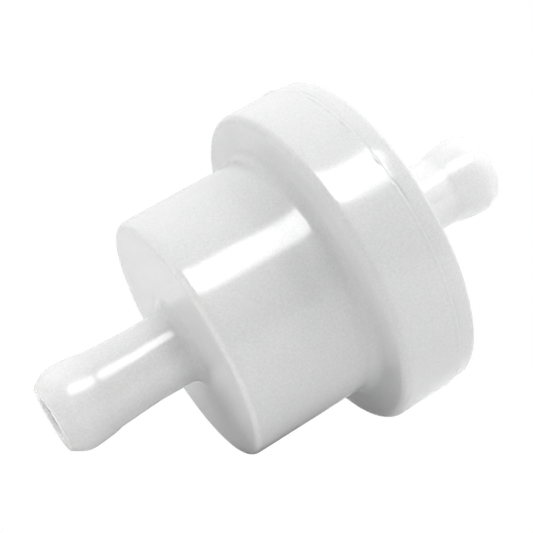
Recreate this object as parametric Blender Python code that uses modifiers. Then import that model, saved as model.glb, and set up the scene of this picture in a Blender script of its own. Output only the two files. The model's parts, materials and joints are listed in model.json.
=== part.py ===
"""Inline fuel filter for a small engine: a welded plastic housing around a pleated paper element.

Run with: blender --background --python part.py
Metres, +Z up. Fuel flows along +X, and the origin is on the flow axis at the middle of the length.
Turned parts are drawn as (along, radius) outlines, measured from each part's own seat on the axis.
"""

import math

import bpy
from mathutils import Vector

MM = 0.001

# Overall sizes
INLET_NIPPLE_LENGTH = 12.7 * MM
BARREL_LENGTH = 12.2 * MM
COLLAR_LENGTH = 5.6 * MM
COVER_THICKNESS = 1.7 * MM
OUTLET_NIPPLE_LENGTH = 12.4 * MM
BARREL_RADIUS = 11.3 * MM
COLLAR_RADIUS = 15.0 * MM
COVER_RADIUS = 14.75 * MM

# Hose nipples, for a quarter inch hose: radii at the neck, the bulb's foot, shoulder and crest, the taper and the tip
INLET_NIPPLE_RADII = (3.28 * MM, 3.50 * MM, 3.63 * MM, 3.79 * MM, 3.86 * MM, 3.03 * MM)
OUTLET_NIPPLE_RADII = (3.15 * MM, 3.20 * MM, 3.33 * MM, 3.58 * MM, 3.74 * MM, 3.18 * MM)
BORE_RADIUS = 1.7 * MM
BORE_CHAMFER = 0.1 * MM

# Places on the nipples, as lengths from the tip
BULB_FOOT = 4.65 * MM
BULB_SHOULDER = 4.2 * MM
BULB_CREST = 3.0 * MM
TIP_TAPER = 1.4 * MM
TIP_TAPER_ROUND = 2.0 * MM

# Walls and rounded edges
END_WALL = 1.4 * MM
BARREL_WALL = 1.3 * MM
SHOULDER_THICKNESS = 1.6 * MM
COLLAR_WALL = 1.7 * MM
ROOT_ROUND = 1.1 * MM
EDGE_ROUND = 0.45 * MM
COLLAR_EDGE_ROUND = 0.8 * MM
BARREL_EDGE_ROUND = 0.6 * MM
COVER_EDGE_ROUND = 0.15 * MM
FIT = 0.05 * MM

# Weld joint: a tongue on the cover in a groove in the collar's end
GROOVE_RADII = (13.75 * MM, 14.45 * MM)
GROOVE_DEPTH = 0.8 * MM
CLAMP_RING_RADII = (12.0 * MM, 13.1 * MM)

# Filter element
SEAL_CORD_RADIUS = 0.48 * MM
SEAL_RADIUS = 12.2 * MM
SEAL_SPACE = 1.0 * MM
FLANGE_THICKNESS = 1.2 * MM
FLANGE_HOLE_RADIUS = 3.6 * MM
SPIGOT_RADIUS = 4.6 * MM
SPIGOT_LENGTH = 1.15 * MM
CAP_RADIUS = 9.6 * MM
CAP_THICKNESS = 1.1 * MM
CAP_LIP_RADIUS = 9.1 * MM
CAP_LIP_LENGTH = 1.2 * MM
INLET_GAP = 0.95 * MM
RIB_COUNT = 4
RIB_WIDTH = 0.8 * MM
RIB_RADII = (2.6 * MM, 8.6 * MM)
ADHESIVE_RADII = (5.0 * MM, 9.0 * MM)
ADHESIVE_THICKNESS = 0.55 * MM
CORE_RADII = (4.05 * MM, 4.85 * MM)
WINDOW_ROWS = 3
WINDOWS_PER_ROW = 6
WINDOW_WIDTH = 1.8 * MM
WINDOW_LENGTH = 2.2 * MM
PLEAT_COUNT = 16
PLEAT_RADII = (5.1 * MM, 8.85 * MM)
PAPER_THICKNESS = 0.3 * MM
FOLD_RADIUS = 0.24 * MM

# Places along the flow axis
INLET_TIP = -0.5 * (
    INLET_NIPPLE_LENGTH + BARREL_LENGTH + COLLAR_LENGTH + COVER_THICKNESS + OUTLET_NIPPLE_LENGTH
)
BARREL_FACE = INLET_TIP + INLET_NIPPLE_LENGTH
SEAM = BARREL_FACE + BARREL_LENGTH + COLLAR_LENGTH
SHOULDER = BARREL_FACE + BARREL_LENGTH + SHOULDER_THICKNESS
FLANGE_FACE = SHOULDER + SEAL_SPACE
CAP_FACE = BARREL_FACE + END_WALL + INLET_GAP
ELEMENT_INLET_END = CAP_FACE + CAP_THICKNESS

# Mesh resolution
TURN_STEPS = 40
ARC_STEP = math.radians(30)
FOLD_STEPS = 4
MERGE_DISTANCE = 1e-6


def clear_scene():
    for obj in list(bpy.data.objects):
        bpy.data.objects.remove(obj)


def make_collection(name):
    collection = bpy.data.collections.new(name)
    bpy.context.scene.collection.children.link(collection)
    return collection


def make_material(name, colour, roughness):
    material = bpy.data.materials.new(name)
    material.use_nodes = True
    shader = material.node_tree.nodes["Principled BSDF"]
    shader.inputs["Base Color"].default_value = (*colour, 1.0)
    shader.inputs["Roughness"].default_value = roughness
    shader.inputs["Metallic"].default_value = 0.0
    return material


def add_to_filter(obj, seat, material):
    """Puts a part on the flow axis, with its own origin at its seat."""
    obj.parent = flow_axis
    obj.location = (0.0, 0.0, seat)
    obj.data.materials.append(material)
    if obj.name not in parts.objects:
        parts.objects.link(obj)
    return obj


def rounded(corners):
    """The outline through corners (along, radius, round), each round replaced by an arc of that radius."""
    outline = []
    for index, (along, radius, arc_radius) in enumerate(corners):
        corner = Vector((along, radius))
        if not arc_radius:
            outline.append(corner)
            continue
        before = (Vector(corners[index - 1][:2]) - corner).normalized()
        after = (Vector(corners[(index + 1) % len(corners)][:2]) - corner).normalized()
        half_angle = before.angle(after) / 2
        centre = corner + (before + after).normalized() * (arc_radius / math.sin(half_angle))
        start = corner + before * (arc_radius / math.tan(half_angle)) - centre
        sweep = math.pi - 2 * half_angle
        turn = -math.copysign(1.0, before.cross(after))
        count = max(1, round(sweep / ARC_STEP))
        for step in range(count + 1):
            angle = turn * sweep * step / count
            cosine, sine = math.cos(angle), math.sin(angle)
            outline.append(
                centre + Vector((start.x * cosine - start.y * sine, start.x * sine + start.y * cosine))
            )
    return outline


def turned(name, corners, seat, material):
    """A part of revolution. Its outline is closed, or closes on the flow axis where it starts and ends there."""
    outline = rounded(corners)
    count = len(outline)
    edges = [(i, (i + 1) % count) for i in range(count)]
    if outline[0].y == 0.0 and outline[-1].y == 0.0:
        edges.pop()
    mesh = bpy.data.meshes.new(name)
    mesh.from_pydata([(point.y, 0.0, point.x) for point in outline], edges, [])
    obj = bpy.data.objects.new(name, mesh)
    screw = obj.modifiers.new("Turn", "SCREW")
    screw.axis = "Z"
    screw.angle = 2 * math.pi
    screw.steps = TURN_STEPS
    screw.render_steps = TURN_STEPS
    screw.use_merge_vertices = True
    screw.merge_threshold = MERGE_DISTANCE
    return add_to_filter(obj, seat, material)


def helper_box(name, size, location, turn):
    """A box that a Boolean modifier reads. It isn't part of the object."""
    bpy.ops.mesh.primitive_cube_add(size=1.0)
    box = bpy.context.object
    box.name = name
    box.scale = size
    box.rotation_euler = (0.0, 0.0, turn)
    box.location = location
    box.parent = flow_axis
    box.hide_render = True
    box.display_type = "WIRE"
    for collection in box.users_collection:
        collection.objects.unlink(box)
    helpers.objects.link(box)
    return box


def add_boolean(obj, other, operation):
    boolean = obj.modifiers.new(other.name, "BOOLEAN")
    boolean.operation = operation
    boolean.object = other


def nipple(length, radii):
    """The outside of a hose nipple as (distance from its root, radius, round), from root to tip."""
    neck, foot, shoulder, crest, taper, tip = radii
    return [
        (0.0, (neck + foot) / 2, ROOT_ROUND),
        ((length - BULB_FOOT) / 2, neck, 0.0),
        (length - BULB_FOOT, foot, 0.0),
        (length - BULB_SHOULDER, shoulder, 0.0),
        (length - BULB_CREST, crest, 0.0),
        (length - TIP_TAPER, taper, TIP_TAPER_ROUND),
        (length, tip, EDGE_ROUND),
    ]


def inlet_housing(material):
    """Inlet nipple, barrel and collar in one moulding. Its seat is the barrel's front face."""
    nipple_outline = [
        (-distance, radius, arc)
        for distance, radius, arc in nipple(INLET_NIPPLE_LENGTH, INLET_NIPPLE_RADII)
    ]
    collar_end = BARREL_LENGTH + COLLAR_LENGTH
    shoulder = BARREL_LENGTH + SHOULDER_THICKNESS
    barrel_bore = BARREL_RADIUS - BARREL_WALL
    collar_bore = COLLAR_RADIUS - COLLAR_WALL
    corners = [
        (collar_end, COLLAR_RADIUS, 0.0),
        (BARREL_LENGTH, COLLAR_RADIUS, COLLAR_EDGE_ROUND),
        (BARREL_LENGTH, BARREL_RADIUS, ROOT_ROUND),
        (0.0, BARREL_RADIUS, BARREL_EDGE_ROUND),
        *nipple_outline,
        (-INLET_NIPPLE_LENGTH, BORE_RADIUS + BORE_CHAMFER, 0.0),
        (BORE_CHAMFER - INLET_NIPPLE_LENGTH, BORE_RADIUS, 0.0),
        (END_WALL, BORE_RADIUS, EDGE_ROUND),
        (END_WALL, barrel_bore, EDGE_ROUND),
        (shoulder, barrel_bore, 0.0),
        (shoulder, collar_bore, 0.0),
        (collar_end, collar_bore, 0.0),
        (collar_end, GROOVE_RADII[0], 0.0),
        (collar_end - GROOVE_DEPTH, GROOVE_RADII[0], 0.0),
        (collar_end - GROOVE_DEPTH, GROOVE_RADII[1], 0.0),
        (collar_end, GROOVE_RADII[1], 0.0),
    ]
    return turned("inlet_housing", corners, BARREL_FACE, material)


def outlet_cover(material):
    """Disc, weld tongue, clamp ring and outlet nipple in one moulding. Its seat is the weld seam."""
    nipple_outline = [
        (COVER_THICKNESS + distance, radius, arc)
        for distance, radius, arc in nipple(OUTLET_NIPPLE_LENGTH, OUTLET_NIPPLE_RADII)
    ]
    tip = COVER_THICKNESS + OUTLET_NIPPLE_LENGTH
    tongue_end = FIT - GROOVE_DEPTH
    clamp_end = FLANGE_FACE + FLANGE_THICKNESS + FIT - SEAM
    corners = [
        (tip - BORE_CHAMFER, BORE_RADIUS, 0.0),
        (tip, BORE_RADIUS + BORE_CHAMFER, 0.0),
        *reversed(nipple_outline),
        (COVER_THICKNESS, COVER_RADIUS, COVER_EDGE_ROUND),
        (FIT, COVER_RADIUS, 0.0),
        (FIT, GROOVE_RADII[1] - FIT, 0.0),
        (tongue_end, GROOVE_RADII[1] - FIT, 0.0),
        (tongue_end, GROOVE_RADII[0] + FIT, 0.0),
        (FIT, GROOVE_RADII[0] + FIT, 0.0),
        (FIT, CLAMP_RING_RADII[1], 0.0),
        (clamp_end, CLAMP_RING_RADII[1], 0.0),
        (clamp_end, CLAMP_RING_RADII[0], 0.0),
        (FIT, CLAMP_RING_RADII[0], EDGE_ROUND),
        (FIT, BORE_RADIUS, EDGE_ROUND),
    ]
    return turned("outlet_cover", corners, SEAM, material)


def element_flange(material):
    """The element's open end: a lip round the pleats, a flange in the collar and a spigot to the outlet."""
    corners = [
        (FLANGE_THICKNESS + SPIGOT_LENGTH, SPIGOT_RADIUS, 0.0),
        (FLANGE_THICKNESS, SPIGOT_RADIUS, 0.0),
        (FLANGE_THICKNESS, CLAMP_RING_RADII[1], 0.0),
        (0.0, CLAMP_RING_RADII[1], 0.0),
        (0.0, CAP_RADIUS, 0.0),
        (-CAP_LIP_LENGTH, CAP_RADIUS, 0.0),
        (-CAP_LIP_LENGTH, CAP_LIP_RADIUS, 0.0),
        (0.0, CAP_LIP_RADIUS, 0.0),
        (0.0, FLANGE_HOLE_RADIUS, 0.0),
        (FLANGE_THICKNESS + SPIGOT_LENGTH, FLANGE_HOLE_RADIUS, 0.0),
    ]
    return turned("element_flange", corners, FLANGE_FACE, material)


def element_end_cap(material):
    """The element's closed end, with a boss inside the core tube and ribs that hold it off the end wall."""
    boss_radius = CORE_RADII[0] - FIT
    rim_end = CAP_THICKNESS + CAP_LIP_LENGTH
    corners = [
        (rim_end, 0.0, 0.0),
        (rim_end, boss_radius, 0.0),
        (CAP_THICKNESS, boss_radius, 0.0),
        (CAP_THICKNESS, CAP_LIP_RADIUS, 0.0),
        (rim_end, CAP_LIP_RADIUS, 0.0),
        (rim_end, CAP_RADIUS, 0.0),
        (0.0, CAP_RADIUS, EDGE_ROUND),
        (0.0, 0.0, 0.0),
    ]
    cap = turned("element_end_cap", corners, CAP_FACE, material)
    height = INLET_GAP - FIT
    overlap = CAP_THICKNESS / 2
    middle = (RIB_RADII[0] + RIB_RADII[1]) / 2
    size = (RIB_RADII[1] - RIB_RADII[0], RIB_WIDTH, height + overlap)
    for index in range(RIB_COUNT):
        turn = 2 * math.pi * (index + 0.5) / RIB_COUNT
        place = (middle * math.cos(turn), middle * math.sin(turn), CAP_FACE + (overlap - height) / 2)
        add_boolean(cap, helper_box(f"rib_{index + 1}", size, place, turn), "UNION")
    return cap


def core_tube(material):
    """Perforated tube that holds the pleats open. Its seat is the closed end cap."""
    length = FLANGE_FACE - ELEMENT_INLET_END
    inner, outer = CORE_RADII
    corners = [
        (length - FIT, outer, 0.0),
        (FIT, outer, 0.0),
        (FIT, inner, 0.0),
        (length - FIT, inner, 0.0),
    ]
    tube = turned("core_tube", corners, ELEMENT_INLET_END, material)
    size = (3 * outer, WINDOW_WIDTH, WINDOW_LENGTH)
    for row in range(WINDOW_ROWS):
        height = ELEMENT_INLET_END + length * (row + 1) / (WINDOW_ROWS + 1)
        for index in range(WINDOWS_PER_ROW // 2):
            turn = 2 * math.pi * (index + 0.25) / WINDOWS_PER_ROW
            cutter = helper_box(f"window_{row + 1}_{index + 1}", size, (0.0, 0.0, height), turn)
            add_boolean(tube, cutter, "DIFFERENCE")
    return tube


def adhesive_ring(name, seat, material):
    """Adhesive that bonds the pleat ends into an end cap."""
    inner, outer = ADHESIVE_RADII
    corners = [
        (ADHESIVE_THICKNESS, outer, 0.0),
        (0.0, outer, 0.0),
        (0.0, inner, 0.0),
        (ADHESIVE_THICKNESS, inner, 0.0),
    ]
    return turned(name, corners, seat, material)


def seal_ring(material):
    """Round-section seal between the housing's shoulder and the element flange."""
    bpy.ops.mesh.primitive_torus_add(
        major_segments=TURN_STEPS,
        minor_segments=8,
        major_radius=SEAL_RADIUS,
        minor_radius=SEAL_CORD_RADIUS,
    )
    ring = bpy.context.object
    ring.name = "seal_ring"
    for collection in ring.users_collection:
        collection.objects.unlink(ring)
    ring.data.shade_smooth()
    return add_to_filter(ring, SHOULDER + SEAL_SPACE / 2, material)


def pleat_side(half_thickness):
    """One face of the pleated paper as a closed outline, on the outer side where half_thickness is positive.

    Outer and inner folds are arcs about points on two circles, and straight walls are tangent to both arcs.
    """
    outer_arc = FOLD_RADIUS + half_thickness
    inner_arc = FOLD_RADIUS - half_thickness
    outer_centre = Vector((PLEAT_RADII[1] - FOLD_RADIUS - PAPER_THICKNESS / 2, 0.0))
    half_pitch = math.pi / PLEAT_COUNT
    inner_distance = PLEAT_RADII[0] + FOLD_RADIUS + PAPER_THICKNESS / 2
    inner_centre = Vector((math.cos(half_pitch), math.sin(half_pitch))) * inner_distance
    between = inner_centre - outer_centre
    towards_inner = math.atan2(between.y, between.x)
    contact = towards_inner - math.acos(2 * FOLD_RADIUS / between.length)
    points = []
    for pleat in range(PLEAT_COUNT):
        base = 2 * half_pitch * pleat
        for step in range(FOLD_STEPS + 1):
            angle = contact * (2 * step / FOLD_STEPS - 1)
            points.append((base, outer_centre, outer_arc, angle))
        mirrored = 2 * half_pitch - contact
        for step in range(FOLD_STEPS + 1):
            angle = contact + (mirrored - contact) * step / FOLD_STEPS + math.pi
            points.append((base, inner_centre, inner_arc, angle))
    outline = []
    for base, centre, arc, angle in points:
        x = centre.x + arc * math.cos(angle)
        y = centre.y + arc * math.sin(angle)
        outline.append(
            (x * math.cos(base) - y * math.sin(base), x * math.sin(base) + y * math.cos(base))
        )
    return outline


def pleated_paper(material):
    """Star-folded filter paper, as a flat outline with a hole, extruded along the flow axis."""
    start = ELEMENT_INLET_END + 2 * FIT + ADHESIVE_THICKNESS
    end = FLANGE_FACE - 2 * FIT - ADHESIVE_THICKNESS
    curve = bpy.data.curves.new("pleated_paper", "CURVE")
    curve.dimensions = "2D"
    curve.fill_mode = "BOTH"
    curve.extrude = (end - start) / 2
    for half_thickness in (PAPER_THICKNESS / 2, -PAPER_THICKNESS / 2):
        outline = pleat_side(half_thickness)
        spline = curve.splines.new("POLY")
        spline.points.add(len(outline) - 1)
        for point, (x, y) in zip(spline.points, outline):
            point.co = (x, y, 0.0, 1.0)
        spline.use_cyclic_u = True
    paper = bpy.data.objects.new("pleated_paper", curve)
    return add_to_filter(paper, (start + end) / 2, material)


clear_scene()
parts = make_collection("fuel_filter")
helpers = make_collection("helpers")
flow_axis = bpy.data.objects.new("flow_axis", None)
flow_axis.rotation_euler = (0.0, math.pi / 2, 0.0)
parts.objects.link(flow_axis)

white_nylon = make_material("white_nylon", (0.86, 0.86, 0.85), 0.25)
element_plastic = make_material("element_plastic", (0.78, 0.78, 0.74), 0.45)
filter_paper = make_material("filter_paper", (0.83, 0.74, 0.52), 0.9)
seal_rubber = make_material("seal_rubber", (0.03, 0.03, 0.03), 0.6)
amber_adhesive = make_material("amber_adhesive", (0.62, 0.42, 0.16), 0.35)

inlet_housing(white_nylon)
outlet_cover(white_nylon)
element_flange(element_plastic)
element_end_cap(element_plastic)
core_tube(element_plastic)
pleated_paper(filter_paper)
adhesive_ring("inlet_end_adhesive", ELEMENT_INLET_END + FIT, amber_adhesive)
adhesive_ring("outlet_end_adhesive", FLANGE_FACE - FIT - ADHESIVE_THICKNESS, amber_adhesive)
seal_ring(seal_rubber)
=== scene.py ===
"""Looks for the inline fuel filter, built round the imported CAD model: housing, cover, element and studio.

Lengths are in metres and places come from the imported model. Turned pieces are drawn as (x, radius) outlines
in the row frame. An angle round the flow axis starts at +Z and grows towards -Y.
"""

import math

import bmesh
import bpy
from mathutils import Matrix, Vector, noise
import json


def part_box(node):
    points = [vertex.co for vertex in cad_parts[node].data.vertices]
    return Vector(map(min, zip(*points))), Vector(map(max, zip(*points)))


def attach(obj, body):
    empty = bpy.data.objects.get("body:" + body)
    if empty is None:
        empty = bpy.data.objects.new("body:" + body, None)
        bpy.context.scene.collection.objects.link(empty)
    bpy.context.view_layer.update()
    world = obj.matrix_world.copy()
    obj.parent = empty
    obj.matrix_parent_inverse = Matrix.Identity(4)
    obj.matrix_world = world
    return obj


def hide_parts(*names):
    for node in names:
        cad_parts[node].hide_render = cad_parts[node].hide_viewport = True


MM = 0.001
TURN = 2 * math.pi

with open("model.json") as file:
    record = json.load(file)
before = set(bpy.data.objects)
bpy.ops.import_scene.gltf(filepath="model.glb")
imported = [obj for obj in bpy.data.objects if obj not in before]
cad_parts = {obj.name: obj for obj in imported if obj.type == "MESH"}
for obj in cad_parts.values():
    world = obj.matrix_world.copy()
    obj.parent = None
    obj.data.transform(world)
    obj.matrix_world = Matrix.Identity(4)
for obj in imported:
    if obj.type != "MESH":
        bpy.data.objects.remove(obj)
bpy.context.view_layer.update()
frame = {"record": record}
mounts = {mount["name"]: Vector(mount["pos_m"]) for mount in frame["record"]["mounts"]}

# Places along the flow axis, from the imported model
INLET_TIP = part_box("inlet_housing")[0].x
BARREL_FACE = mounts["barrel_face"].x
COLLAR_FACE = mounts["collar_face"].x
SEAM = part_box("inlet_housing")[1].x
COVER_FACE = mounts["cover_face"].x
OUTLET_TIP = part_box("outlet_cover")[1].x
FLANGE_START, FLANGE_END = (corner.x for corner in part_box("element_flange"))
CAP_START, CAP_END = (corner.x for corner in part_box("element_end_cap"))
CORE_START, CORE_END = (corner.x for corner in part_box("core_tube"))
PAPER_START, PAPER_END = (corner.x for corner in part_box("pleated_paper"))
SEAL_MIDDLE = sum(corner.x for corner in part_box("seal_ring")) / 2

# Radii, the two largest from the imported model
COLLAR_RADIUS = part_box("inlet_housing")[1].z
COVER_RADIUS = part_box("outlet_cover")[1].z
BARREL_RADIUS = 11.3 * MM
BORE_RADIUS = 1.7 * MM
INLET_NIPPLE_RADII = (3.28 * MM, 3.50 * MM, 3.63 * MM, 3.79 * MM, 3.86 * MM, 3.03 * MM)
OUTLET_NIPPLE_RADII = (3.15 * MM, 3.20 * MM, 3.33 * MM, 3.58 * MM, 3.74 * MM, 3.18 * MM)

# Places on the nipples, as lengths from the tip
BULB_FOOT = 4.65 * MM
BULB_SHOULDER = 4.2 * MM
BULB_CREST = 3.0 * MM
TIP_TAPER = 1.4 * MM

# Rounds on the nipples
NECK_ROUND = 8 * MM
FOOT_ROUND = 2.2 * MM
CREST_ROUND = 12 * MM
TAPER_ROUND = 2 * MM
TIP_ROUND = 0.4 * MM

# Walls and edges
END_WALL = 1.4 * MM
BARREL_WALL = 1.3 * MM
SHOULDER_THICKNESS = 1.6 * MM
COLLAR_WALL = 1.7 * MM
GROOVE_RADII = (13.75 * MM, 14.45 * MM)
GROOVE_DEPTH = 0.8 * MM
CLAMP_RING_RADII = (12.0 * MM, 13.1 * MM)
FIT = 0.05 * MM
ROOT_ROUND = 1.1 * MM
EDGE_ROUND = 0.45 * MM
COLLAR_EDGE_ROUND = 0.8 * MM
BARREL_EDGE_ROUND = 0.6 * MM
FINE_ROUND = 0.15 * MM
WELD_ROUND = 0.015 * MM
WELD_GAP = 0.01 * MM
RIM_STEP = 0.06 * MM
COVER_TAPER = 0.05
COVER_EDGE_ROUND = 0.35 * MM
BORE_CHAMFER = 0.25 * MM
MOUTH_ROUND = 0.05 * MM

# Weld line: a lip with beads on the housing's side, a crack with gaps on the cover's side, and how far from
# the seam each row of points for them lies
WELD_REACH = 1.0 * MM
WELD_DEPTH = 0.4 * MM
LIP_PLACE = -0.16 * MM
LIP_WIDTH = 0.13 * MM
LIP_HEIGHT = 0.008 * MM
TOP_LIP_HEIGHT = 0.2 * MM
TOP_LIP_ANGLE = math.radians(-66)
TOP_LIP_WIDTH = math.radians(9)
BEAD_PITCH = 0.6 * MM
BEAD_HEIGHT = 0.03 * MM
ROUGH_BEAD_HEIGHT = 0.12 * MM
ROUGH_ANGLE = math.radians(2)
ROUGH_WIDTH = math.radians(16)
CRACK_PLACE = 0.02 * MM
CRACK_WIDTH = 0.1 * MM
CRACK_DEPTH = 0.008 * MM
GAP_PITCH = 2.4 * MM
GAP_NOISE_PLACE = 4.0 * MM
GAP_DEPTH = 0.07 * MM
WELD_ROWS = (0.07 * MM, 0.13 * MM, 0.19 * MM, 0.26 * MM, 0.35 * MM, 0.5 * MM)

# Filter element
SEAL_CORD_RADIUS = 0.48 * MM
SEAL_RADIUS = 12.2 * MM
SEAL_FLASH = 0.03 * MM
SEAL_FLASH_WIDTH = 0.03 * MM
FLANGE_THICKNESS = 1.2 * MM
FLANGE_HOLE_RADIUS = 3.6 * MM
SPIGOT_RADIUS = 4.6 * MM
CAP_RADIUS = 9.6 * MM
CAP_LIP_RADIUS = 9.1 * MM
CAP_LIP_LENGTH = 1.2 * MM
CAP_THICKNESS = 1.1 * MM
PIN_MARK_RADIUS = 0.8 * MM
PIN_MARK_DEPTH = 0.05 * MM
RIB_HEIGHT = 0.9 * MM
RIB_COUNT = 4
RIB_WIDTH = 0.8 * MM
RIB_RADII = (2.6 * MM, 8.6 * MM)
CORE_RADII = (4.05 * MM, 4.85 * MM)
WINDOW_ROWS = 3
WINDOWS_PER_ROW = 6
WINDOW_WIDTH = 1.8 * MM
WINDOW_LENGTH = 2.2 * MM
WINDOW_ROUND = 0.4 * MM
PLEAT_COUNT = 16
PLEAT_RADII = (5.1 * MM, 8.85 * MM)
PAPER_THICKNESS = 0.3 * MM
PAPER_SWAY = 0.05 * MM
CREPE_HEIGHT = 0.012 * MM
CREPE_PITCH = 0.75 * MM
FOLD_RADIUS = 0.24 * MM
FOLD_STEPS = 10
WALL_STEPS = 10
PAPER_LAYERS = 60
ADHESIVE_RADII = (5.0 * MM, 9.0 * MM)
ADHESIVE_SAG = 0.03 * MM
SKIN_ROUND = 0.08 * MM

# Surface of the moulded pieces
SINK_HEIGHT = 0.012 * MM
SINK_PITCH = 5 * MM
WAVE_HEIGHT = 0.004 * MM
WAVE_PITCH = 1.3 * MM
# Painted highlight along the barrel's front edge: where it starts and where it is at full strength, as
# distances from the edge
EDGE_HIGHLIGHT_REACH = 0.5 * MM
EDGE_HIGHLIGHT_CORE = 0.2 * MM
NIPPLE_DULLNESS = 0.1

# Mesh resolution
HOUSING_STEPS = 480
ELEMENT_STEPS = 240
ARC_STEP = math.radians(12)
LONGEST_EDGE = 0.9 * MM
ADHESIVE_EDGE = 0.3 * MM
SAME_POINT = 1e-4 * MM

# Camera and light
CAMERA_AZIMUTH = math.radians(-34.2)
CAMERA_ELEVATION = math.radians(59.2)
CAMERA_DISTANCE = 113.75 * MM
CAMERA_ASIDE = (-3.01 * MM, 0.5 * MM)
LENS = 87.84
SENSOR = 36.0
TABLE_TILT = math.radians(27)
TENT_HALF = 0.3
SOFTBOX_PLACE = Vector((0.155, 0.117, 0.55))
SOFTBOX_SIZE = (0.32, 0.265)
SOFTBOX_TURN = math.radians(-20)
SOFTBOX_POWER = 1.1
GLARE_PLACE = SOFTBOX_PLACE * 0.99
GLARE_POWER = 2.2
GLARE_FADE = 0.12
FLOOR_GAP = 0.1 * MM
FLOOR_HALF = 0.6


# ---------------------------------------------------------------- turned meshes

def rounded(corners):
    """The outline through corners (x, radius, round), with an arc for each round."""
    outline = []
    for index, (along, radius, arc_radius) in enumerate(corners):
        corner = Vector((along, radius))
        if not arc_radius:
            outline.append(corner)
            continue
        before = (Vector(corners[index - 1][:2]) - corner).normalized()
        after = (Vector(corners[(index + 1) % len(corners)][:2]) - corner).normalized()
        half_angle = before.angle(after) / 2
        centre = corner + (before + after).normalized() * (arc_radius / math.sin(half_angle))
        start = corner + before * (arc_radius / math.tan(half_angle)) - centre
        sweep = math.pi - 2 * half_angle
        turn = -math.copysign(1.0, before.cross(after))
        count = max(2, round(sweep / ARC_STEP))
        for step in range(count + 1):
            angle = turn * sweep * step / count
            cosine, sine = math.cos(angle), math.sin(angle)
            outline.append(
                centre + Vector((start.x * cosine - start.y * sine, start.x * sine + start.y * cosine))
            )
    return outline


def subdivided(outline, longest):
    """The closed outline with its long straight stretches cut into shorter ones."""
    points = []
    for index, point in enumerate(outline):
        following = outline[(index + 1) % len(outline)]
        pieces = max(1, math.ceil((following - point).length / longest))
        for piece in range(pieces):
            points.append(point.lerp(following, piece / pieces))
    return points


def turned(name, corners, steps, relief=None, longest=LONGEST_EDGE):
    """A closed solid of revolution about the flow axis.

    relief(x, radius, angle) moves a point off the plain shape. An outline that starts and ends at radius 0
    closes on the axis, where its points are merged.
    """
    outline = subdivided(rounded(corners), longest)
    rows = len(outline)
    vertices = []
    for step in range(steps):
        angle = TURN * step / steps
        sine, cosine = math.sin(angle), math.cos(angle)
        for point in outline:
            along, radius = relief(point.x, point.y, angle) if relief and point.y else point
            vertices.append((along, -radius * sine, radius * cosine))
    faces = []
    for step in range(steps):
        here, there = step * rows, (step + 1) % steps * rows
        for row in range(rows):
            following = (row + 1) % rows
            if outline[row].y or outline[following].y:
                faces.append((here + row, here + following, there + following, there + row))
    solid = bmesh.new()
    mesh = bpy.data.meshes.new(name)
    mesh.from_pydata(vertices, [], faces)
    solid.from_mesh(mesh)
    bmesh.ops.remove_doubles(solid, verts=solid.verts, dist=SAME_POINT)
    loose = [vertex for vertex in solid.verts if not vertex.link_faces]
    bmesh.ops.delete(solid, geom=loose, context="VERTS")
    solid.to_mesh(mesh)
    solid.free()
    obj = bpy.data.objects.new(name, mesh)
    bpy.context.scene.collection.objects.link(obj)
    return obj


def finish_piece(obj, node, material, sharp_angle=math.radians(30)):
    """Shades the piece, gives it its material and lets it stand for its CAD node."""
    mesh = obj.data
    solid = bmesh.new()
    solid.from_mesh(mesh)
    if solid.calc_volume(signed=True) < 0.0:
        bmesh.ops.reverse_faces(solid, faces=solid.faces)
    solid.to_mesh(mesh)
    solid.free()
    mesh.shade_smooth()
    mesh.set_sharp_from_angle(angle=sharp_angle)
    mesh.materials.clear()
    mesh.materials.append(material)
    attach(obj, "root")
    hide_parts(node)
    return obj


# ---------------------------------------------------------------- housing and cover

def nipple(root, end, radii):
    """The outside of a hose nipple as (x, radius, round), from root to end."""
    neck, foot, shoulder, crest, taper, tip = radii
    outward = math.copysign(1.0, end - root)
    bulb_foot = end - outward * BULB_FOOT
    return [
        (root, (neck + foot) / 2, ROOT_ROUND),
        ((root + bulb_foot) / 2, neck, NECK_ROUND),
        (bulb_foot, foot, FOOT_ROUND),
        (end - outward * BULB_SHOULDER, shoulder, FOOT_ROUND),
        (end - outward * BULB_CREST, crest, CREST_ROUND),
        (end - outward * TIP_TAPER, taper, TAPER_ROUND),
        (end, tip, TIP_ROUND),
    ]


def ripple(x, radius, angle, pitch):
    """Smooth noise between -1 and 1 over the surface at that point, with features about pitch across."""
    return noise.noise(Vector((x, radius * math.sin(angle), radius * math.cos(angle))) / pitch)


def lobe(angle, centre, width):
    """A smooth bump round the axis: 1 at centre and near 0 beyond width."""
    away = (angle - centre + math.pi) % TURN - math.pi
    return math.exp(-((away / width) ** 2))


def ridge(x, middle, width):
    """A smooth ridge across the flow axis: 1 at middle and near 0 beyond width."""
    return math.exp(-(((x - middle) / width) ** 2))


def weld_line(x, radius, angle):
    """How far the weld lifts the rim: a lip of squeezed-out plastic beside an uneven, broken crack."""
    along = x - SEAM
    if abs(along) > WELD_REACH or radius < COVER_RADIUS - WELD_DEPTH:
        return 0.0
    top = lobe(angle, TOP_LIP_ANGLE, TOP_LIP_WIDTH)
    rough = lobe(angle, ROUGH_ANGLE, ROUGH_WIDTH)
    beads = max(0.0, 0.15 + ripple(0.0, radius, angle, BEAD_PITCH))
    height = LIP_HEIGHT + (BEAD_HEIGHT + ROUGH_BEAD_HEIGHT * rough) * beads + TOP_LIP_HEIGHT * top
    gaps = max(0.0, 0.1 + 1.8 * ripple(GAP_NOISE_PLACE, radius, angle, GAP_PITCH))
    depth = CRACK_DEPTH + GAP_DEPTH * min(gaps, 1.0)
    return height * ridge(along, LIP_PLACE, LIP_WIDTH) - depth * ridge(along, CRACK_PLACE, CRACK_WIDTH)


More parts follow.
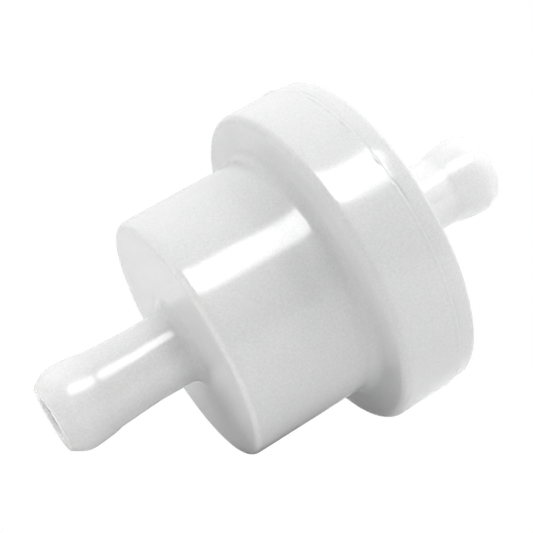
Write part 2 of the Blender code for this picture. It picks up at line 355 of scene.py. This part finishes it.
def moulded(x, radius, angle):
    """Slight sinking and waviness of the moulded surface, with the weld line round the rim."""
    sink = SINK_HEIGHT * ripple(x, radius, angle, SINK_PITCH)
    wave = WAVE_HEIGHT * ripple(x, radius, angle, WAVE_PITCH)
    return x, radius + weld_line(x, radius, angle) + sink + wave


def inlet_housing(material):
    """Inlet nipple, barrel and collar in one moulding."""
    shoulder = COLLAR_FACE + SHOULDER_THICKNESS
    barrel_bore = BARREL_RADIUS - BARREL_WALL
    collar_bore = COLLAR_RADIUS - COLLAR_WALL
    seam = SEAM - WELD_GAP
    corners = [
        (seam, COLLAR_RADIUS, WELD_ROUND),
        *((SEAM - row, COLLAR_RADIUS, 0.0) for row in WELD_ROWS),
        (COLLAR_FACE, COLLAR_RADIUS, COLLAR_EDGE_ROUND),
        (COLLAR_FACE, BARREL_RADIUS, ROOT_ROUND),
        (BARREL_FACE, BARREL_RADIUS, BARREL_EDGE_ROUND),
        *nipple(BARREL_FACE, INLET_TIP, INLET_NIPPLE_RADII),
        (INLET_TIP, BORE_RADIUS + BORE_CHAMFER, MOUTH_ROUND),
        (INLET_TIP + BORE_CHAMFER, BORE_RADIUS, MOUTH_ROUND),
        (BARREL_FACE + END_WALL, BORE_RADIUS, EDGE_ROUND),
        (BARREL_FACE + END_WALL, barrel_bore, EDGE_ROUND),
        (shoulder, barrel_bore, FINE_ROUND),
        (shoulder, collar_bore, FINE_ROUND),
        (seam, collar_bore, FINE_ROUND),
        (seam, GROOVE_RADII[0], 0.0),
        (SEAM - GROOVE_DEPTH, GROOVE_RADII[0], 0.0),
        (SEAM - GROOVE_DEPTH, GROOVE_RADII[1], 0.0),
        (seam, GROOVE_RADII[1], 0.0),
    ]
    housing = turned("inlet_housing_moulding", corners, HOUSING_STEPS, moulded)
    return finish_piece(housing, "inlet_housing", material)


def outlet_cover(material):
    """Disc, weld tongue, clamp ring and outlet nipple in one moulding."""
    start = SEAM + WELD_GAP
    tongue_end = SEAM + FIT - GROOVE_DEPTH
    clamp_end = FLANGE_START + CAP_LIP_LENGTH + FLANGE_THICKNESS + FIT
    rim = COLLAR_RADIUS - RIM_STEP
    corners = [
        (OUTLET_TIP - BORE_CHAMFER, BORE_RADIUS, MOUTH_ROUND),
        (OUTLET_TIP, BORE_RADIUS + BORE_CHAMFER, MOUTH_ROUND),
        *reversed(nipple(COVER_FACE, OUTLET_TIP, OUTLET_NIPPLE_RADII)),
        (COVER_FACE, rim - COVER_TAPER * (COVER_FACE - SEAM), COVER_EDGE_ROUND),
        *((SEAM + row, rim - COVER_TAPER * row, 0.0) for row in reversed(WELD_ROWS)),
        (start, rim, WELD_ROUND),
        (start, GROOVE_RADII[1] - FIT, 0.0),
        (tongue_end, GROOVE_RADII[1] - FIT, 0.0),
        (tongue_end, GROOVE_RADII[0] + FIT, 0.0),
        (start, GROOVE_RADII[0] + FIT, 0.0),
        (start, CLAMP_RING_RADII[1], 0.0),
        (clamp_end, CLAMP_RING_RADII[1], FINE_ROUND),
        (clamp_end, CLAMP_RING_RADII[0], FINE_ROUND),
        (start, CLAMP_RING_RADII[0], EDGE_ROUND),
        (start, BORE_RADIUS, EDGE_ROUND),
    ]
    cover = turned("outlet_cover_moulding", corners, HOUSING_STEPS, moulded)
    return finish_piece(cover, "outlet_cover", material)


# ---------------------------------------------------------------- filter element

def rounded_box(name, size, corner_round, location, turn):
    """A box with rounded edges, placed and then turned about the flow axis."""
    box = bmesh.new()
    bmesh.ops.create_cube(box, size=1.0)
    bmesh.ops.scale(box, vec=size, verts=box.verts)
    bmesh.ops.bevel(
        box, geom=box.edges, offset=corner_round, segments=4, profile=0.5,
        affect="EDGES", clamp_overlap=True,
    )
    mesh = bpy.data.meshes.new(name)
    box.to_mesh(mesh)
    box.free()
    obj = bpy.data.objects.new(name, mesh)
    obj.matrix_world = Matrix.Rotation(turn, 4, "X") @ Matrix.Translation(location)
    bpy.context.scene.collection.objects.link(obj)
    return obj


def combined(obj, others, operation):
    """obj with every other piece joined on or cut away. The others are removed."""
    for other in others:
        boolean = obj.modifiers.new(other.name, "BOOLEAN")
        boolean.operation = operation
        boolean.object = other
    evaluated = obj.evaluated_get(bpy.context.evaluated_depsgraph_get())
    mesh = bpy.data.meshes.new_from_object(evaluated)
    obj.modifiers.clear()
    obj.data = mesh
    for other in others:
        bpy.data.objects.remove(other)
    return obj


def element_flange(material):
    """The element's open end: a lip round the pleats, a flange in the collar and a spigot to the outlet."""
    face = FLANGE_START + CAP_LIP_LENGTH
    back = face + FLANGE_THICKNESS
    corners = [
        (FLANGE_END, SPIGOT_RADIUS, FINE_ROUND),
        (back, SPIGOT_RADIUS, FINE_ROUND),
        (back, CLAMP_RING_RADII[1], FINE_ROUND),
        (face, CLAMP_RING_RADII[1], FINE_ROUND),
        (face, CAP_RADIUS, FINE_ROUND),
        (FLANGE_START, CAP_RADIUS, FINE_ROUND),
        (FLANGE_START, CAP_LIP_RADIUS, FINE_ROUND),
        (face, CAP_LIP_RADIUS, SKIN_ROUND),
        (face, FLANGE_HOLE_RADIUS, FINE_ROUND),
        (FLANGE_END, FLANGE_HOLE_RADIUS, FINE_ROUND),
    ]
    flange = turned("element_flange_moulding", corners, ELEMENT_STEPS, moulded)
    return finish_piece(flange, "element_flange", material)


def element_end_cap(material):
    """The element's closed end, with a boss inside the core tube and ribs that hold it off the end wall."""
    face = CAP_START + RIB_HEIGHT
    floor = face + CAP_THICKNESS
    boss_radius = CORE_RADII[0] - FIT
    corners = [
        (CAP_END - PIN_MARK_DEPTH, 0.0, 0.0),
        (CAP_END - PIN_MARK_DEPTH, PIN_MARK_RADIUS, 0.0),
        (CAP_END, PIN_MARK_RADIUS, 0.0),
        (CAP_END, boss_radius, FINE_ROUND),
        (floor, boss_radius, SKIN_ROUND),
        (floor, CAP_LIP_RADIUS, SKIN_ROUND),
        (CAP_END, CAP_LIP_RADIUS, FINE_ROUND),
        (CAP_END, CAP_RADIUS, FINE_ROUND),
        (face, CAP_RADIUS, EDGE_ROUND),
        (face, 0.0, 0.0),
    ]
    cap = turned("element_end_cap_moulding", corners, ELEMENT_STEPS, moulded)
    overlap = CAP_THICKNESS / 2
    size = (RIB_HEIGHT + overlap, RIB_WIDTH, RIB_RADII[1] - RIB_RADII[0])
    place = (face + (overlap - RIB_HEIGHT) / 2, 0.0, (RIB_RADII[0] + RIB_RADII[1]) / 2)
    ribs = [
        rounded_box(f"rib_{index}", size, FINE_ROUND, place, TURN * (index + 0.5) / RIB_COUNT)
        for index in range(RIB_COUNT)
    ]
    return finish_piece(combined(cap, ribs, "UNION"), "element_end_cap", material)


def core_tube(material):
    """Perforated tube that holds the pleats open."""
    inner, outer = CORE_RADII
    corners = [
        (CORE_END, outer, SKIN_ROUND),
        (CORE_START, outer, SKIN_ROUND),
        (CORE_START, inner, SKIN_ROUND),
        (CORE_END, inner, SKIN_ROUND),
    ]
    tube = turned("core_tube_moulding", corners, ELEMENT_STEPS)
    length = CORE_END - CORE_START
    # Each cutter goes right through the tube, so it opens two windows
    size = (WINDOW_LENGTH, WINDOW_WIDTH, 3 * outer)
    windows = []
    for row in range(WINDOW_ROWS):
        place = (CORE_START + length * (row + 1) / (WINDOW_ROWS + 1), 0.0, 0.0)
        for index in range(WINDOWS_PER_ROW // 2):
            turn = TURN * (index + 0.25) / WINDOWS_PER_ROW
            windows.append(rounded_box(f"window_{row}_{index}", size, WINDOW_ROUND, place, turn))
    return finish_piece(combined(tube, windows, "DIFFERENCE"), "core_tube", material)


def pleat_line():
    """The paper's middle line round the element: points (y, z) with the normals of its outer side."""
    half_pitch = math.pi / PLEAT_COUNT
    outer_centre = Vector((PLEAT_RADII[1] - FOLD_RADIUS - PAPER_THICKNESS / 2, 0.0))
    inner_distance = PLEAT_RADII[0] + FOLD_RADIUS + PAPER_THICKNESS / 2
    inner_centre = Vector((math.cos(half_pitch), math.sin(half_pitch))) * inner_distance
    between = inner_centre - outer_centre
    contact = math.atan2(between.y, between.x) - math.acos(2 * FOLD_RADIUS / between.length)
    line = []

    def fold(centre, start, end, side):
        """Adds an arc round centre, with its outward side at 1.0 or -1.0."""
        for step in range(FOLD_STEPS + 1):
            angle = start + (end - start) * step / FOLD_STEPS
            ray = Vector((math.cos(angle), math.sin(angle)))
            line.append((centre + ray * FOLD_RADIUS, ray * side))

    def wall(end, normal):
        """Adds the points between the last one and end, which isn't added."""
        start = line[-1][0]
        for step in range(1, WALL_STEPS):
            line.append((start.lerp(end, step / WALL_STEPS), normal))

    for pleat in range(PLEAT_COUNT):
        turn = Matrix.Rotation(2 * half_pitch * pleat, 2)
        back = Matrix.Rotation(2 * half_pitch * (pleat + 1), 2)
        first = len(line)
        fold(outer_centre, -contact, contact, 1.0)
        inner_start = inner_centre - line[-1][1] * FOLD_RADIUS
        wall(inner_start, line[-1][1])
        fold(inner_centre, contact + math.pi, 2 * half_pitch - contact + math.pi, -1.0)
        for index in range(first, len(line)):
            point, normal = line[index]
            line[index] = (turn @ point, turn @ normal)
        next_start = back @ (outer_centre + Vector((math.cos(contact), -math.sin(contact))) * FOLD_RADIUS)
        wall(next_start, line[-1][1])
    return line


def pleated_paper(material):
    """Star-folded filter paper with a slight crepe and uneven walls."""
    line = pleat_line()
    count = len(line)
    vertices = []
    for layer in range(PAPER_LAYERS + 1):
        x = PAPER_START + (PAPER_END - PAPER_START) * layer / PAPER_LAYERS
        for point, normal in line:
            place = Vector((x, point.x, point.y))
            sway = PAPER_SWAY * noise.noise(place / (2.5 * MM))
            crepe = CREPE_HEIGHT * math.sin(TURN * x / CREPE_PITCH + 3 * noise.noise(place / MM))
            for side in (PAPER_THICKNESS / 2, -PAPER_THICKNESS / 2):
                moved = point + normal * (side + sway + crepe)
                vertices.append((x, moved.x, moved.y))
    faces = []

    def corner(layer, index, side):
        """The number of a vertex: its layer, its place on the line and its side of the paper."""
        return (layer * count + index % count) * 2 + side

    for index in range(count):
        for layer in range(PAPER_LAYERS):
            for side in (0, 1):
                quad = (
                    corner(layer, index, side),
                    corner(layer, index + 1, side),
                    corner(layer + 1, index + 1, side),
                    corner(layer + 1, index, side),
                )
                faces.append(quad if side == 0 else quad[::-1])
        for layer in (0, PAPER_LAYERS):
            quad = (
                corner(layer, index, 1),
                corner(layer, index + 1, 1),
                corner(layer, index + 1, 0),
                corner(layer, index, 0),
            )
            faces.append(quad if layer == 0 else quad[::-1])
    mesh = bpy.data.meshes.new("pleated_paper_sheet")
    mesh.from_pydata(vertices, [], faces)
    paper = bpy.data.objects.new("pleated_paper_sheet", mesh)
    bpy.context.scene.collection.objects.link(paper)
    return finish_piece(paper, "pleated_paper", material, math.radians(50))


def adhesive_skin(x, radius, angle):
    """The uneven surface of adhesive that has run and set."""
    sag = ADHESIVE_SAG * ripple(x, radius, angle, 1.1 * MM)
    return x + sag, radius - abs(sag)


def adhesive_ring(node, material):
    """Adhesive that bonds one end of the pleats into the cap or the flange."""
    start, end = (corner.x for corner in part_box(node))
    inner, outer = ADHESIVE_RADII
    corners = [
        (end - ADHESIVE_SAG, outer, FINE_ROUND),
        (start + ADHESIVE_SAG, outer, FINE_ROUND),
        (start + ADHESIVE_SAG, inner + ADHESIVE_SAG, FINE_ROUND),
        (end - ADHESIVE_SAG, inner + ADHESIVE_SAG, FINE_ROUND),
    ]
    ring = turned(node + "_bead", corners, ELEMENT_STEPS, adhesive_skin, ADHESIVE_EDGE)
    return finish_piece(ring, node, material)


def seal_flash(x, radius, angle):
    """The thin line of flash that a two-part mould leaves round a rubber ring, inside and outside."""
    height = SEAL_FLASH * ridge(x, SEAL_MIDDLE, SEAL_FLASH_WIDTH)
    return x, radius + math.copysign(height, radius - SEAL_RADIUS)


def seal_ring(material):
    """Round-section rubber ring between the housing's shoulder and the element flange."""
    cord = SEAL_CORD_RADIUS
    corners = [
        (SEAL_MIDDLE + cord, SEAL_RADIUS + cord, cord),
        (SEAL_MIDDLE - cord, SEAL_RADIUS + cord, cord),
        (SEAL_MIDDLE - cord, SEAL_RADIUS - cord, cord),
        (SEAL_MIDDLE + cord, SEAL_RADIUS - cord, cord),
    ]
    ring = turned("seal_ring_cord", corners, ELEMENT_STEPS, seal_flash)
    return finish_piece(ring, "seal_ring", material)


# ---------------------------------------------------------------- materials

def new_material(name):
    """A material with nodes: the material, its node tree and its Principled shader."""
    material = bpy.data.materials.new(name)
    material.use_nodes = True
    tree = material.node_tree
    shader = tree.nodes["Principled BSDF"]
    return material, tree, shader


def add_node(tree, kind, **values):
    """Adds a node and sets its inputs by name, with spaces written as underscores."""
    node = tree.nodes.new(kind)
    for key, value in values.items():
        node.inputs[key.replace("_", " ")].default_value = value
    return node


def object_noise(tree, scale, detail=3.0, roughness=0.5):
    """Noise in the row frame, in features per metre."""
    place = tree.nodes.new("ShaderNodeTexCoord")
    texture = add_node(tree, "ShaderNodeTexNoise", Scale=scale, Detail=detail, Roughness=roughness)
    tree.links.new(place.outputs["Object"], texture.inputs["Vector"])
    return texture.outputs["Fac"]


def remapped(tree, value, low, high, start=0.3, end=0.7):
    """Spreads a value from start..end to low..high and holds it there beyond. The defaults suit noise."""
    node = add_node(tree, "ShaderNodeMapRange", From_Min=start, From_Max=end, To_Min=low, To_Max=high)
    tree.links.new(value, node.inputs["Value"])
    return node.outputs["Result"]


def mixed_colour(tree, value, first, second):
    """Blends from the first colour to the second. The first may be another node's output."""
    node = tree.nodes.new("ShaderNodeMix")
    node.data_type = "RGBA"
    tree.links.new(value, node.inputs["Factor"])
    if isinstance(first, tuple):
        node.inputs["A"].default_value = (*first, 1.0)
    else:
        tree.links.new(first, node.inputs["A"])
    node.inputs["B"].default_value = (*second, 1.0)
    return node.outputs["Result"]


def place_along_axis(tree):
    """The shaded point's place along the flow axis."""
    place = tree.nodes.new("ShaderNodeTexCoord")
    split = tree.nodes.new("ShaderNodeSeparateXYZ")
    tree.links.new(place.outputs["Object"], split.inputs["Vector"])
    return split.outputs["X"]


def bumped(tree, height, distance, strength, under=None):
    """Raises the surface by distance where height is 1, on top of another bump if one is given."""
    node = add_node(tree, "ShaderNodeBump", Strength=strength, Distance=distance)
    tree.links.new(height, node.inputs["Height"])
    if under is not None:
        tree.links.new(under, node.inputs["Normal"])
    return node.outputs["Normal"]


def painted_light_along_axis(tree, colour, start, end, light):
    """Paints light onto a colour: lighter from start to end on the flow axis, a painted glow for the light
    that a thin wall lets through.
    """
    share = remapped(tree, place_along_axis(tree), 0.0, 1.0, start, end)
    return mixed_colour(tree, share, colour, light)


def frosted(tree, roughness):
    """Dulls the gloss along each nipple, from its root to its bulb.

    The roughness stays under 0.27, because a denoised render shows an edge where it passes that value.
    """
    along = place_along_axis(tree)
    for root, bulb in ((BARREL_FACE, INLET_TIP + BULB_SHOULDER), (COVER_FACE, OUTLET_TIP - BULB_SHOULDER)):
        added = tree.nodes.new("ShaderNodeMath")
        tree.links.new(roughness, added.inputs[0])
        tree.links.new(remapped(tree, along, 0.0, NIPPLE_DULLNESS, root, bulb), added.inputs[1])
        roughness = added.outputs["Value"]
    return roughness


def painted_edge_highlight(tree, colour, light):
    """Paints light onto a colour at the barrel's front edge: a painted highlight for the bright line along
    that edge.
    """
    place = tree.nodes.new("ShaderNodeTexCoord")
    squash = add_node(tree, "ShaderNodeMapping", Scale=(0.0, 1.0, 1.0))
    tree.links.new(place.outputs["Object"], squash.inputs["Vector"])
    radius = tree.nodes.new("ShaderNodeVectorMath")
    radius.operation = "LENGTH"
    tree.links.new(squash.outputs["Vector"], radius.inputs[0])
    section = tree.nodes.new("ShaderNodeCombineXYZ")
    tree.links.new(place_along_axis(tree), section.inputs["X"])
    tree.links.new(radius.outputs["Value"], section.inputs["Y"])
    away = tree.nodes.new("ShaderNodeVectorMath")
    away.operation = "DISTANCE"
    away.inputs[1].default_value = (BARREL_FACE, BARREL_RADIUS, 0.0)
    tree.links.new(section.outputs["Vector"], away.inputs[0])
    share = remapped(tree, away.outputs["Value"], 0.0, 1.0, EDGE_HIGHLIGHT_REACH, EDGE_HIGHLIGHT_CORE)
    return mixed_colour(tree, share, colour, light)


def white_nylon():
    """Natural white nylon: milky and glossy, with cloudy patches, a fine grain and turning marks, and with
    painted light on the nipples and along the barrel's front edge.
    """
    material, tree, shader = new_material("white_nylon")
    cloud = object_noise(tree, 260.0, 4.0)
    grain = object_noise(tree, 5000.0, 3.0, 0.6)
    thick = mixed_colour(tree, cloud, (0.728, 0.733, 0.738), (0.768, 0.768, 0.763))
    # The nipples are painted lighter towards their tips: painted light for the light that comes through their
    # thin walls.
    inlet = painted_light_along_axis(tree, thick, BARREL_FACE - 0.5 * MM, BARREL_FACE - 3 * MM, (0.88, 0.88, 0.88))
    both = painted_light_along_axis(tree, inlet, COVER_FACE, COVER_FACE + 1.5 * MM, (0.87, 0.87, 0.87))
    # Painted highlight along the barrel's front edge
    edge_highlighted = painted_edge_highlight(tree, both, (0.88, 0.88, 0.88))
    specks = mixed_colour(tree, remapped(tree, grain, 0.0, 1.0), (0.89, 0.89, 0.89), (1.0, 1.0, 1.0))
    speckled = tree.nodes.new("ShaderNodeMix")
    speckled.data_type = "RGBA"
    speckled.blend_type = "MULTIPLY"
    speckled.inputs["Factor"].default_value = 1.0
    tree.links.new(edge_highlighted, speckled.inputs["A"])
    tree.links.new(specks, speckled.inputs["B"])
    tree.links.new(speckled.outputs["Result"], shader.inputs["Base Color"])
    gloss = remapped(tree, object_noise(tree, 900.0), 0.12, 0.16)
    tree.links.new(frosted(tree, gloss), shader.inputs["Roughness"])
    marks = turning_marks(tree)
    coarse = bumped(tree, object_noise(tree, 500.0, 2.0), 0.02 * MM, 0.25)
    turned_finish = bumped(tree, marks, 0.0015 * MM, 1.0, coarse)
    fine = bumped(tree, grain, 0.004 * MM, 1.0, turned_finish)
    tree.links.new(fine, shader.inputs["Normal"])
    shader.inputs["IOR"].default_value = 1.53
    shader.inputs["Subsurface Weight"].default_value = 0.3
    shader.inputs["Subsurface Radius"].default_value = (1.0, 0.95, 0.9)
    shader.inputs["Subsurface Scale"].default_value = 0.7 * MM
    return material


def turning_marks(tree):
    """Fine rings round the flow axis, left by the lathe that cut the mould."""
    place = tree.nodes.new("ShaderNodeTexCoord")
    squash = add_node(tree, "ShaderNodeMapping", Scale=(4500.0, 90.0, 90.0))
    tree.links.new(place.outputs["Object"], squash.inputs["Vector"])
    rings = add_node(tree, "ShaderNodeTexNoise", Scale=1.0, Detail=2.0)
    tree.links.new(squash.outputs["Vector"], rings.inputs["Vector"])
    return rings.outputs["Fac"]


def element_plastic():
    """Ivory moulded plastic with a fine satin grain."""
    material, tree, shader = new_material("element_plastic")
    colour = mixed_colour(tree, object_noise(tree, 300.0), (0.74, 0.73, 0.68), (0.81, 0.80, 0.76))
    tree.links.new(colour, shader.inputs["Base Color"])
    tree.links.new(remapped(tree, object_noise(tree, 1500.0), 0.34, 0.5), shader.inputs["Roughness"])
    tree.links.new(bumped(tree, object_noise(tree, 3000.0), 0.01 * MM, 0.5), shader.inputs["Normal"])
    shader.inputs["Subsurface Weight"].default_value = 0.15
    shader.inputs["Subsurface Scale"].default_value = 0.5 * MM
    return material


def filter_paper():
    """Resin-treated filter paper: a matted mesh of pale fibres over a darker ground."""
    material, tree, shader = new_material("filter_paper")
    place = tree.nodes.new("ShaderNodeTexCoord")
    stretch = add_node(tree, "ShaderNodeMapping", Scale=(900.0, 3600.0, 3600.0))
    tree.links.new(place.outputs["Object"], stretch.inputs["Vector"])
    fibre = add_node(tree, "ShaderNodeTexNoise", Scale=1.0, Detail=5.0, Roughness=0.7, Distortion=1.5)
    tree.links.new(stretch.outputs["Vector"], fibre.inputs["Vector"])
    threads = remapped(tree, fibre.outputs["Fac"], 0.0, 1.0, 0.35, 0.65)
    colour = mixed_colour(tree, threads, (0.70, 0.58, 0.36), (0.88, 0.80, 0.60))
    tree.links.new(colour, shader.inputs["Base Color"])
    shader.inputs["Roughness"].default_value = 0.9
    shader.inputs["Sheen Weight"].default_value = 0.2
    tree.links.new(bumped(tree, threads, 0.03 * MM, 0.7), shader.inputs["Normal"])
    return material


def seal_rubber():
    """Black nitrile rubber with a dusty bloom."""
    material, tree, shader = new_material("seal_rubber")
    bloom = remapped(tree, object_noise(tree, 700.0, 5.0, 0.7), 0.0, 1.0, 0.45, 0.75)
    colour = mixed_colour(tree, bloom, (0.018, 0.018, 0.02), (0.06, 0.06, 0.06))
    tree.links.new(colour, shader.inputs["Base Color"])
    tree.links.new(remapped(tree, bloom, 0.5, 0.75, 0.0, 1.0), shader.inputs["Roughness"])
    tree.links.new(bumped(tree, object_noise(tree, 5000.0), 0.01 * MM, 0.5), shader.inputs["Normal"])
    return material


def amber_adhesive():
    """Set adhesive: glossy amber with small trapped bubbles."""
    material, tree, shader = new_material("amber_adhesive")
    place = tree.nodes.new("ShaderNodeTexCoord")
    cells = add_node(tree, "ShaderNodeTexVoronoi", Scale=1400.0, Randomness=1.0)
    tree.links.new(place.outputs["Object"], cells.inputs["Vector"])
    bubbles = remapped(tree, cells.outputs["Distance"], 1.0, 0.0, 0.1, 0.25)
    depth = mixed_colour(tree, object_noise(tree, 400.0), (0.50, 0.30, 0.08), (0.72, 0.50, 0.20))
    colour = mixed_colour(tree, bubbles, depth, (0.86, 0.68, 0.38))
    tree.links.new(colour, shader.inputs["Base Color"])
    shader.inputs["Roughness"].default_value = 0.25
    shader.inputs["Coat Weight"].default_value = 0.5
    shader.inputs["Subsurface Weight"].default_value = 0.3
    shader.inputs["Subsurface Scale"].default_value = 0.4 * MM
    tree.links.new(bumped(tree, bubbles, 0.02 * MM, 0.4), shader.inputs["Normal"])
    return material


# ---------------------------------------------------------------- studio

def camera_axes():
    """Right, up and back directions of the camera."""
    azimuth, elevation = CAMERA_AZIMUTH, CAMERA_ELEVATION
    right = Vector((math.cos(azimuth), math.sin(azimuth), 0.0))
    back = Vector((
        math.sin(azimuth) * math.cos(elevation),
        -math.cos(azimuth) * math.cos(elevation),
        math.sin(elevation),
    ))
    return right, back.cross(right), back


def add_camera():
    """The camera, aimed near the collar's front face."""
    right, up, back = camera_axes()
    camera = bpy.data.objects.new("camera", bpy.data.cameras.new("camera"))
    camera.data.lens = LENS
    camera.data.sensor_width = SENSOR
    camera.data.clip_start = 1 * MM
    camera.data.clip_end = 100.0
    aim = Vector((COLLAR_FACE, 0.0, 0.0)) + right * CAMERA_ASIDE[0] + up * CAMERA_ASIDE[1]
    turn = Matrix((right, up, back)).transposed().to_4x4()
    camera.matrix_world = Matrix.Translation(aim + back * CAMERA_DISTANCE) @ turn
    bpy.context.scene.collection.objects.link(camera)
    bpy.context.scene.camera = camera


def table_axes():
    """Across, up and away directions of the table.

    Across is level in the picture, and the filter's inlet end dips towards the table.
    """
    right = camera_axes()[0]
    up_x = math.sin(TABLE_TILT)
    up_y = -up_x * right.x / right.y
    up = Vector((up_x, up_y, math.sqrt(1.0 - up_x * up_x - up_y * up_y)))
    return right, up, up.cross(right)


def facing_filter(place):
    """The placing of a lamp at place that shines on the filter."""
    return Matrix.Translation(place) @ place.to_track_quat("Z", "Y").to_matrix().to_4x4()


def add_panel(name, placing, size, power):
    """A soft rectangular light that shines along its own -Z. Its size is in metres, its power in watts."""
    light = bpy.data.lights.new(name, "AREA")
    light.shape = "RECTANGLE"
    light.size, light.size_y = size
    light.energy = power
    lamp = bpy.data.objects.new(name, light)
    lamp.matrix_world = placing
    bpy.context.scene.collection.objects.link(lamp)
    return lamp


def soften_edges(lamp, fade):
    """Dims a panel towards its edges, over the given part of its width, as a softbox's cloth does."""
    lamp.data.use_nodes = True
    tree = lamp.data.node_tree
    geometry = tree.nodes.new("ShaderNodeNewGeometry")
    split = tree.nodes.new("ShaderNodeSeparateXYZ")
    tree.links.new(geometry.outputs["Parametric"], split.inputs["Vector"])
    strength = tree.nodes.new("ShaderNodeMath")
    strength.operation = "MULTIPLY"
    for index in range(2):
        edge = tree.nodes.new("ShaderNodeMath")
        edge.operation = "PINGPONG"
        edge.inputs[1].default_value = 0.5
        tree.links.new(split.outputs[index], edge.inputs[0])
        tree.links.new(remapped(tree, edge.outputs["Value"], 0.0, 1.0, 0.0, fade), strength.inputs[index])
    tree.links.new(strength.outputs["Value"], tree.nodes["Emission"].inputs["Strength"])


def add_tent():
    """A light tent round the filter: softbox overhead, lit walls, white cloth and white table.

    The walls light the filter, and its gloss mirrors the cloth. The softbox does both, as two lamps: one
    lights the filter and the other, just under it, is mirrored.
    """
    across, up, away = table_axes()
    turn = Matrix.Rotation(SOFTBOX_TURN, 4, "Z")
    softbox_placing = Matrix.Translation(SOFTBOX_PLACE) @ turn
    glare_placing = Matrix.Translation(GLARE_PLACE) @ turn
    softbox = add_panel("overhead_softbox", softbox_placing, SOFTBOX_SIZE, SOFTBOX_POWER)
    glare = add_panel("overhead_glare", glare_placing, SOFTBOX_SIZE, GLARE_POWER)
    glare.visible_diffuse = False
    soften_edges(glare, GLARE_FADE)
    half = TENT_HALF
    low = up * half * 0.5
    high = up * half * 1.5
    front = high - away * half + across * half * 0.5
    strip = (2 * half, half)
    walls = [
        add_panel("tent_left_low", facing_filter(low - across * half), strip, 1.05),
        add_panel("tent_right_low", facing_filter(low + across * half), strip, 0.5),
        add_panel("tent_right_high", facing_filter(high + across * half), strip, 2.1),
        add_panel("tent_front_high", facing_filter(front), (half, half), 0.38),
    ]
    for lamp in (softbox, *walls):
        lamp.visible_glossy = False
    add_table(across, up, away)
    add_cloth(across, up)


def add_cloth(across, up):
    """The tent's cloth as the filter's gloss mirrors it: brightest overhead, dark on the right.

    The camera sees plain white in its place.
    """
    world = bpy.data.worlds.new("tent_cloth")
    bpy.context.scene.world = world
    world.use_nodes = True
    world.cycles_visibility.diffuse = False
    tree = world.node_tree
    place = tree.nodes.new("ShaderNodeTexCoord")
    shades = []
    # Each direction with the brightness at right angles to it and straight along it
    for direction, beside, ahead in ((up, 0.85, 1.65), (across, 1.0, 0.0)):
        facing = tree.nodes.new("ShaderNodeVectorMath")
        facing.operation = "DOT_PRODUCT"
        facing.inputs[1].default_value = direction
        tree.links.new(place.outputs["Generated"], facing.inputs[0])
        shades.append(remapped(tree, facing.outputs["Value"], beside, ahead, 0.0, 1.0))
    strength = tree.nodes.new("ShaderNodeMath")
    strength.operation = "MULTIPLY"
    for index, shade in enumerate(shades):
        tree.links.new(shade, strength.inputs[index])
    ray = tree.nodes.new("ShaderNodeLightPath")
    seen = tree.nodes.new("ShaderNodeMath")
    seen.operation = "MAXIMUM"
    tree.links.new(strength.outputs["Value"], seen.inputs[0])
    tree.links.new(ray.outputs["Is Camera Ray"], seen.inputs[1])
    background = tree.nodes["Background"]
    background.inputs["Color"].default_value = (1.0, 1.0, 1.0, 1.0)
    tree.links.new(seen.outputs["Value"], background.inputs["Strength"])


def stage_square(name, middle, across, away, material):
    """A square of the stage: its middle, and the steps from there to its sides."""
    mesh = bpy.data.meshes.new(name)
    steps = (-across - away, across - away, across + away, away - across)
    mesh.from_pydata([middle + step for step in steps], [], [(0, 1, 2, 3)])
    mesh.materials.append(material)
    square = bpy.data.objects.new(name, mesh)
    bpy.context.scene.collection.objects.link(square)
    return square


def add_table(across, up, away):
    """The white table under the barrel's front edge, for its light and shade. The camera doesn't see it."""
    drop = BARREL_RADIUS * math.hypot(up.y, up.z) - BARREL_FACE * up.x
    material, _, shader = new_material("table")
    shader.inputs["Base Color"].default_value = (0.85, 0.85, 0.85, 1.0)
    shader.inputs["Roughness"].default_value = 1.0
    table = stage_square("table", -up * drop, across * TENT_HALF, away * TENT_HALF, material)
    table.visible_camera = False


def add_floor():
    """The white floor just under the part. It is only seen, and has no part in the light."""
    material, tree, _ = new_material("floor")
    glow = add_node(tree, "ShaderNodeEmission", Color=(1.0, 1.0, 1.0, 1.0))
    tree.links.new(glow.outputs["Emission"], tree.nodes["Material Output"].inputs["Surface"])
    middle = Vector((0.0, 0.0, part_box("inlet_housing")[0].z - FLOOR_GAP))
    side, depth = Vector((FLOOR_HALF, 0.0, 0.0)), Vector((0.0, FLOOR_HALF, 0.0))
    floor = stage_square("floor", middle, side, depth, material)
    for effect in ("diffuse", "glossy", "transmission", "volume_scatter", "shadow"):
        setattr(floor, "visible_" + effect, False)


nylon = white_nylon()
inlet_housing(nylon)
outlet_cover(nylon)
ivory = element_plastic()
element_flange(ivory)
element_end_cap(ivory)
core_tube(ivory)
pleated_paper(filter_paper())
adhesive = amber_adhesive()
adhesive_ring("inlet_end_adhesive", adhesive)
adhesive_ring("outlet_end_adhesive", adhesive)
seal_ring(seal_rubber())

add_camera()
add_floor()
add_tent()
bpy.context.scene.view_settings.view_transform = "Standard"
